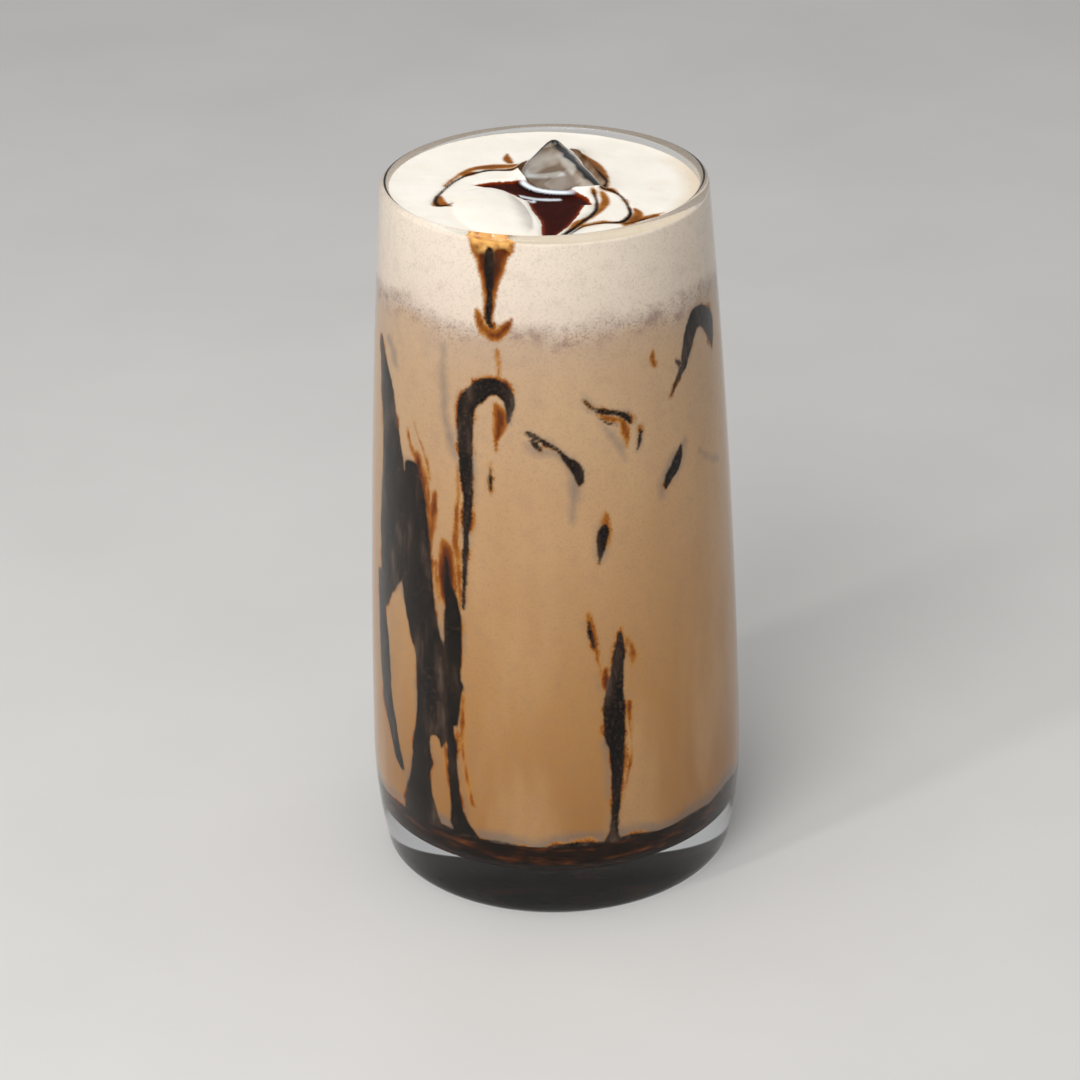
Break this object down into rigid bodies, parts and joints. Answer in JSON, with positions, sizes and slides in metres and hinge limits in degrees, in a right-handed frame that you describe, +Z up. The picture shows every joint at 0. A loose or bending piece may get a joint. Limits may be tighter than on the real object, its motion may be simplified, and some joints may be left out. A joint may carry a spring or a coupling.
{
  "type": "iced coffee",
  "caption": "Tall glass of iced milk coffee with settled dark syrup, syrup streaks on the wall, a pale foam cap and an ice cube showing at the top.",
  "frame": {"origin": "centre of the tumbler's underside, on the surface that it stands on", "axes": "+Z up along the glass; -Y is the front, where the foam's swell and the widest syrup drip are; +X to the viewer's right"},
  "size_m": [0.0692, 0.0692, 0.1358],
  "materials": {
    "clear_glass": "clear polished soda-lime glass",
    "dark_syrup": "near-black brown syrup, wet gloss, amber where thin",
    "milk_coffee": "opaque milky tan liquid, slightly glossy",
    "milk_foam": "smooth warm white foam, satin",
    "clear_ice": "wet clear ice, melted smooth"
  },
  "bodies": {
    "root": {"tumbler": "clear_glass", "settled_syrup": "dark_syrup", "milk_coffee": "milk_coffee", "milk_foam": "milk_foam", "ice_cube": "clear_ice"}
  },
  "joints": []
}
